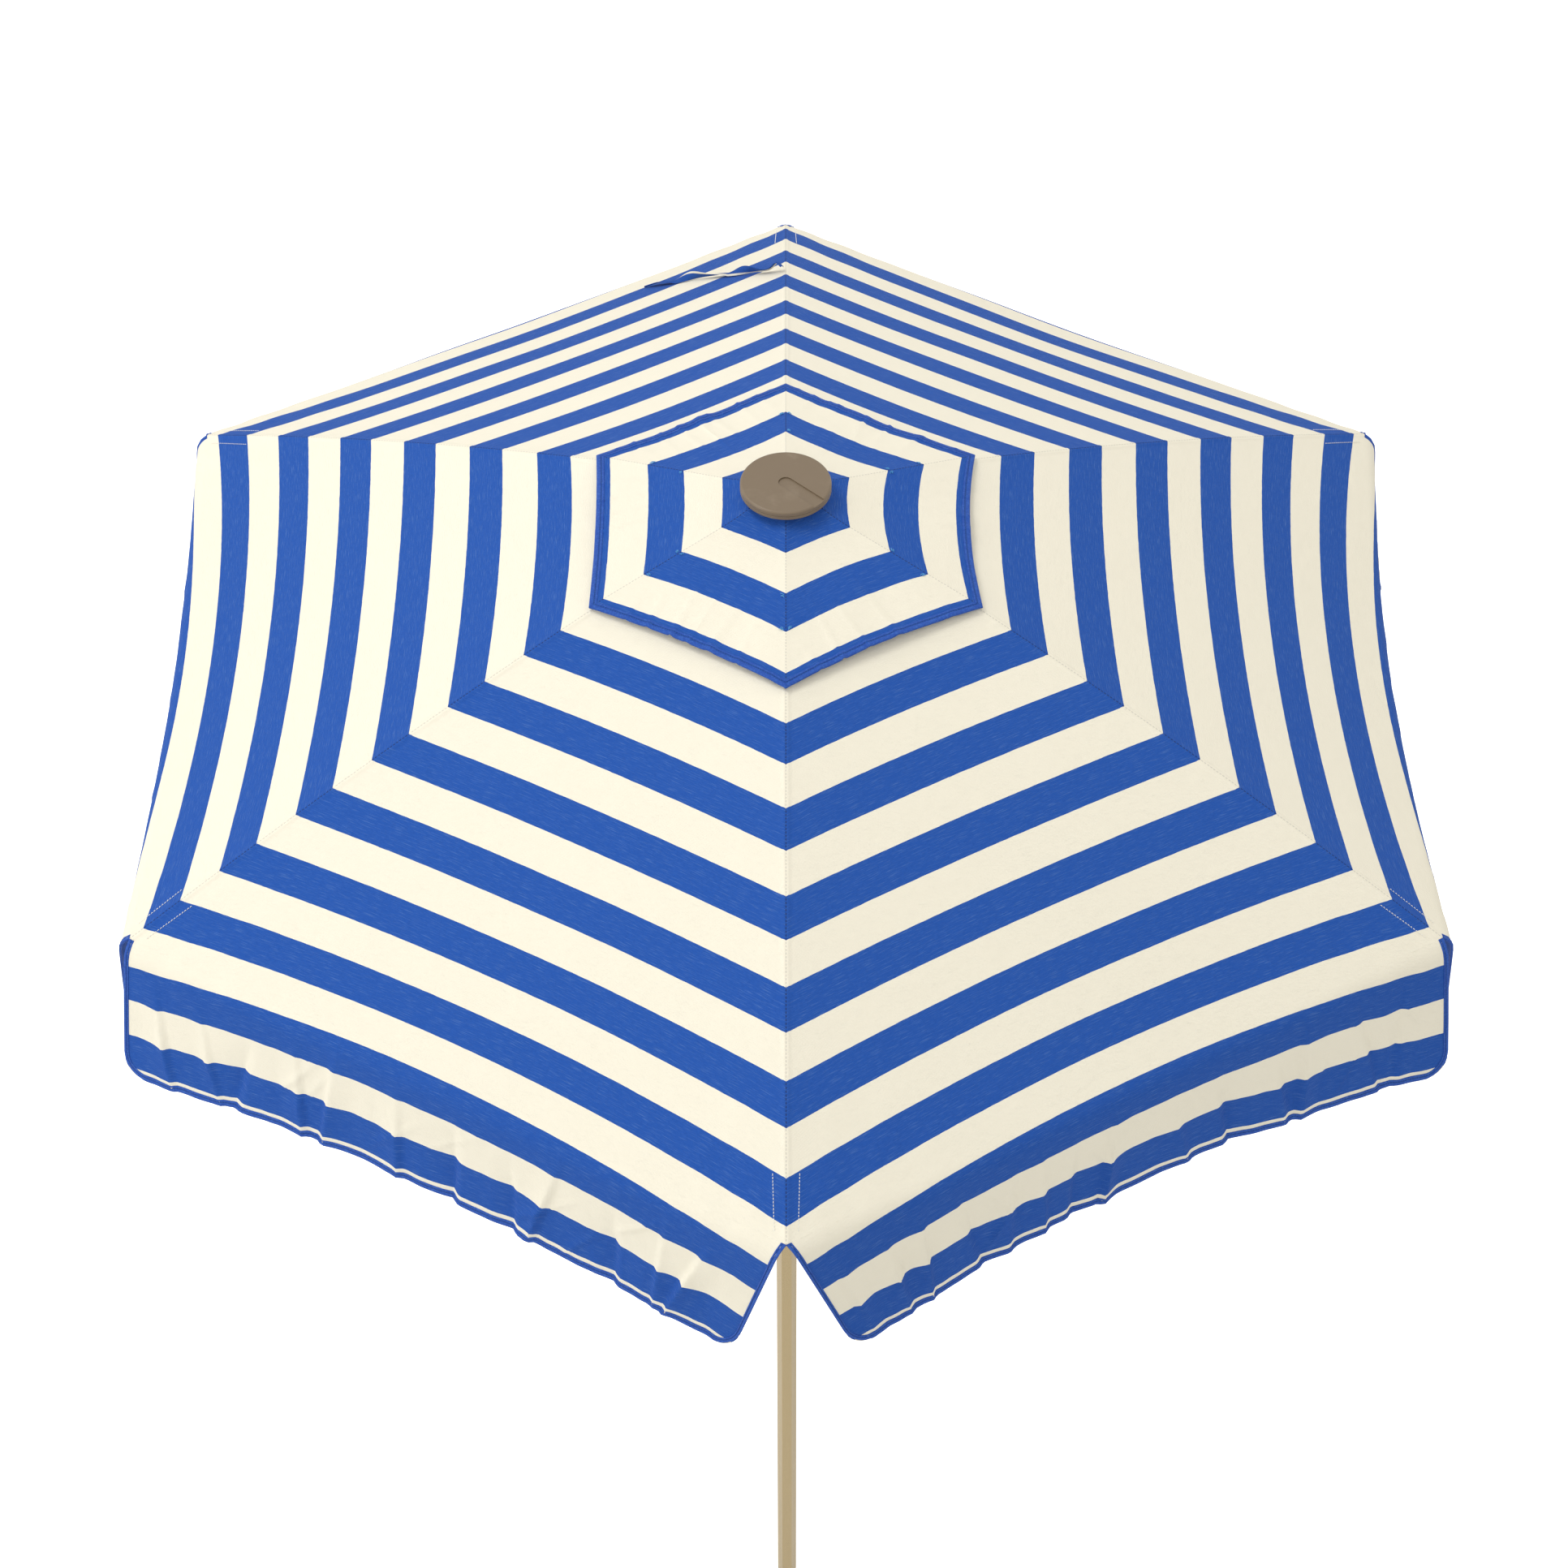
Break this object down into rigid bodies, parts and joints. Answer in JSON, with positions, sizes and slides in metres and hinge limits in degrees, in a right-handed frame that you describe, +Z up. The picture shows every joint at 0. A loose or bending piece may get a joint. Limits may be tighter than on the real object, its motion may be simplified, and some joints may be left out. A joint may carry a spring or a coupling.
{
  "type": "beach umbrella",
  "caption": "Six-rib beach umbrella with a vented striped canopy, hanging valance, sliding runner and a two-piece hexagonal pole.",
  "frame": {"origin": "centre of the flat end of the pointed foot, on the pole axis", "axes": "+Z up along the pole; -Y towards the front rib and canopy corner; +X to the right seen from the front"},
  "size_m": [1.8054, 2.0178, 2.757],
  "materials": {
    "pole_paint": "champagne paint, satin with a light metallic glow",
    "bronze_plastic": "moulded bronze-brown plastic, low gloss",
    "black_plastic": "black moulded nylon, fine grain",
    "white_plastic": "white acetal",
    "rib_fibreglass": "white pultruded glass fibre",
    "pin_steel": "zinc-plated steel",
    "canopy_cloth": "woven cloth in blue and cream stripes across each panel",
    "vent_cloth": "the same striped cloth with a blue binding",
    "valance_cloth": "the same striped cloth, bound in blue tape",
    "strap_cloth": "narrow striped tie strap"
  },
  "bodies": {
    "lower_pole": {"pole_lower": "pole_paint", "foot_tip": "black_plastic", "pole_collar": "black_plastic"},
    "collar_knob": {"collar_knob": "black_plastic"},
    "upper_pole": {"pole_upper": "pole_paint", "pole_bush": "white_plastic", "hub": "black_plastic", "hub_pins": "pin_steel", "finial_base": "bronze_plastic", "finial_cap": "bronze_plastic", "finial_screw": "pin_steel"},
    "runner": {"runner": "black_plastic", "runner_pins": "pin_steel"},
    "runner_knob": {"runner_knob": "black_plastic"},
    "rib_1": {"rib_1": "rib_fibreglass", "rib_bracket_1": "pin_steel", "rib_tip_1": "black_plastic", "canopy_1": "canopy_cloth", "vent_1": "vent_cloth"},
    "strut_1": {"strut_1": "rib_fibreglass"},
    "valance_1": {"valance_1": "valance_cloth"},
    "rib_2": {"rib_2": "rib_fibreglass", "rib_bracket_2": "pin_steel", "rib_tip_2": "black_plastic", "canopy_2": "canopy_cloth", "vent_2": "vent_cloth"},
    "strut_2": {"strut_2": "rib_fibreglass"},
    "valance_2": {"valance_2": "valance_cloth"},
    "rib_3": {"rib_3": "rib_fibreglass", "rib_bracket_3": "pin_steel", "rib_tip_3": "black_plastic", "canopy_3": "canopy_cloth", "vent_3": "vent_cloth"},
    "strut_3": {"strut_3": "rib_fibreglass"},
    "valance_3": {"valance_3": "valance_cloth"},
    "rib_4": {"rib_4": "rib_fibreglass", "rib_bracket_4": "pin_steel", "rib_tip_4": "black_plastic", "canopy_4": "canopy_cloth", "vent_4": "vent_cloth", "tie_strap": "strap_cloth"},
    "strut_4": {"strut_4": "rib_fibreglass"},
    "valance_4": {"valance_4": "valance_cloth"},
    "rib_5": {"rib_5": "rib_fibreglass", "rib_bracket_5": "pin_steel", "rib_tip_5": "black_plastic", "canopy_5": "canopy_cloth", "vent_5": "vent_cloth"},
    "strut_5": {"strut_5": "rib_fibreglass"},
    "valance_5": {"valance_5": "valance_cloth"},
    "rib_6": {"rib_6": "rib_fibreglass", "rib_bracket_6": "pin_steel", "rib_tip_6": "black_plastic", "canopy_6": "canopy_cloth", "vent_6": "vent_cloth"},
    "strut_6": {"strut_6": "rib_fibreglass"},
    "valance_6": {"valance_6": "valance_cloth"}
  },
  "joints": [
    {"name": "height", "type": "slide", "parent": "lower_pole", "child": "upper_pole", "axis": [0, 0, 1], "range_m": [-0.3, 0]},
    {"name": "fold", "type": "hinge", "parent": "upper_pole", "child": "rib_1", "pos_m": [0, -0.036, 2.72849], "axis": [1, 0, 0], "range_deg": [0, 68.9], "deforming": ["canopy_1", "vent_1"]},
    {"name": "strut_hinge_1", "type": "hinge", "parent": "rib_1", "child": "strut_1", "pos_m": [0, -0.49609, 2.5781], "axis": [1, 0, 0], "range_deg": [-137.8, 0]},
    {"name": "valance_hang_1", "type": "hinge", "parent": "rib_1", "child": "valance_1", "pos_m": [0, -0.98957, 2.39651], "axis": [1, 0, 0], "range_deg": [-68.9, 0], "deforming": ["valance_1"]},
    {"name": "rib_hinge_2", "type": "hinge", "parent": "upper_pole", "child": "rib_2", "pos_m": [0.03118, -0.018, 2.72849], "axis": [0.5, 0.866, 0], "range_deg": [0, 68.9], "deforming": ["canopy_2", "vent_2"]},
    {"name": "strut_hinge_2", "type": "hinge", "parent": "rib_2", "child": "strut_2", "pos_m": [0.42963, -0.24805, 2.5781], "axis": [0.5, 0.866, 0], "range_deg": [-137.8, 0]},
    {"name": "valance_hang_2", "type": "hinge", "parent": "rib_2", "child": "valance_2", "pos_m": [0.85699, -0.49478, 2.39651], "axis": [0.5, 0.866, 0], "range_deg": [-68.9, 0], "deforming": ["valance_2"]},
    {"name": "rib_hinge_3", "type": "hinge", "parent": "upper_pole", "child": "rib_3", "pos_m": [0.03118, 0.018, 2.72849], "axis": [-0.5, 0.866, 0], "range_deg": [0, 68.9], "deforming": ["canopy_3", "vent_3"]},
    {"name": "strut_hinge_3", "type": "hinge", "parent": "rib_3", "child": "strut_3", "pos_m": [0.42963, 0.24805, 2.5781], "axis": [-0.5, 0.866, 0], "range_deg": [-137.8, 0]},
    {"name": "valance_hang_3", "type": "hinge", "parent": "rib_3", "child": "valance_3", "pos_m": [0.85699, 0.49478, 2.39651], "axis": [-0.5, 0.866, 0], "range_deg": [-68.9, 0], "deforming": ["valance_3"]},
    {"name": "rib_hinge_4", "type": "hinge", "parent": "upper_pole", "child": "rib_4", "pos_m": [0, 0.036, 2.72849], "axis": [-1, 0, 0], "range_deg": [0, 68.9], "deforming": ["canopy_4", "vent_4", "tie_strap"]},
    {"name": "strut_hinge_4", "type": "hinge", "parent": "rib_4", "child": "strut_4", "pos_m": [0, 0.49609, 2.5781], "axis": [-1, 0, 0], "range_deg": [-137.8, 0]},
    {"name": "valance_hang_4", "type": "hinge", "parent": "rib_4", "child": "valance_4", "pos_m": [0, 0.98957, 2.39651], "axis": [-1, 0, 0], "range_deg": [-68.9, 0], "deforming": ["valance_4"]},
    {"name": "rib_hinge_5", "type": "hinge", "parent": "upper_pole", "child": "rib_5", "pos_m": [-0.03118, 0.018, 2.72849], "axis": [-0.5, -0.866, 0], "range_deg": [0, 68.9], "deforming": ["canopy_5", "vent_5"]},
    {"name": "strut_hinge_5", "type": "hinge", "parent": "rib_5", "child": "strut_5", "pos_m": [-0.42963, 0.24805, 2.5781], "axis": [-0.5, -0.866, 0], "range_deg": [-137.8, 0]},
    {"name": "valance_hang_5", "type": "hinge", "parent": "rib_5", "child": "valance_5", "pos_m": [-0.85699, 0.49478, 2.39651], "axis": [-0.5, -0.866, 0], "range_deg": [-68.9, 0], "deforming": ["valance_5"]},
    {"name": "rib_hinge_6", "type": "hinge", "parent": "upper_pole", "child": "rib_6", "pos_m": [-0.03118, -0.018, 2.72849], "axis": [0.5, -0.866, 0], "range_deg": [0, 68.9], "deforming": ["canopy_6", "vent_6"]},
    {"name": "strut_hinge_6", "type": "hinge", "parent": "rib_6", "child": "strut_6", "pos_m": [-0.42963, -0.24805, 2.5781], "axis": [0.5, -0.866, 0], "range_deg": [-137.8, 0]},
    {"name": "valance_hang_6", "type": "hinge", "parent": "rib_6", "child": "valance_6", "pos_m": [-0.85699, -0.49478, 2.39651], "axis": [0.5, -0.866, 0], "range_deg": [-68.9, 0], "deforming": ["valance_6"]},
    {"name": "runner_slide", "type": "hinge", "parent": "strut_1", "child": "runner", "pos_m": [0, -0.036, 2.42771], "axis": [1, 0, 0], "range_deg": [0, 68.9]},
    {"name": "runner_screw", "type": "hinge", "parent": "runner", "child": "runner_knob", "pos_m": [0.03, 0, 2.38571], "axis": [1, 0, 0], "range_deg": [0, 180]},
    {"name": "collar_screw", "type": "hinge", "parent": "lower_pole", "child": "collar_knob", "pos_m": [0.03, 0, 1.137], "axis": [1, 0, 0], "range_deg": [0, 180]}
  ],
  "couplings": [
    {"joint": "strut_hinge_1", "follows": "fold", "ratio": -2},
    {"joint": "valance_hang_1", "follows": "fold", "ratio": -1},
    {"joint": "rib_hinge_2", "follows": "fold", "ratio": 1},
    {"joint": "strut_hinge_2", "follows": "fold", "ratio": -2},
    {"joint": "valance_hang_2", "follows": "fold", "ratio": -1},
    {"joint": "rib_hinge_3", "follows": "fold", "ratio": 1},
    {"joint": "strut_hinge_3", "follows": "fold", "ratio": -2},
    {"joint": "valance_hang_3", "follows": "fold", "ratio": -1},
    {"joint": "rib_hinge_4", "follows": "fold", "ratio": 1},
    {"joint": "strut_hinge_4", "follows": "fold", "ratio": -2},
    {"joint": "valance_hang_4", "follows": "fold", "ratio": -1},
    {"joint": "rib_hinge_5", "follows": "fold", "ratio": 1},
    {"joint": "strut_hinge_5", "follows": "fold", "ratio": -2},
    {"joint": "valance_hang_5", "follows": "fold", "ratio": -1},
    {"joint": "rib_hinge_6", "follows": "fold", "ratio": 1},
    {"joint": "strut_hinge_6", "follows": "fold", "ratio": -2},
    {"joint": "valance_hang_6", "follows": "fold", "ratio": -1},
    {"joint": "runner_slide", "follows": "fold", "ratio": 1}
  ]
}
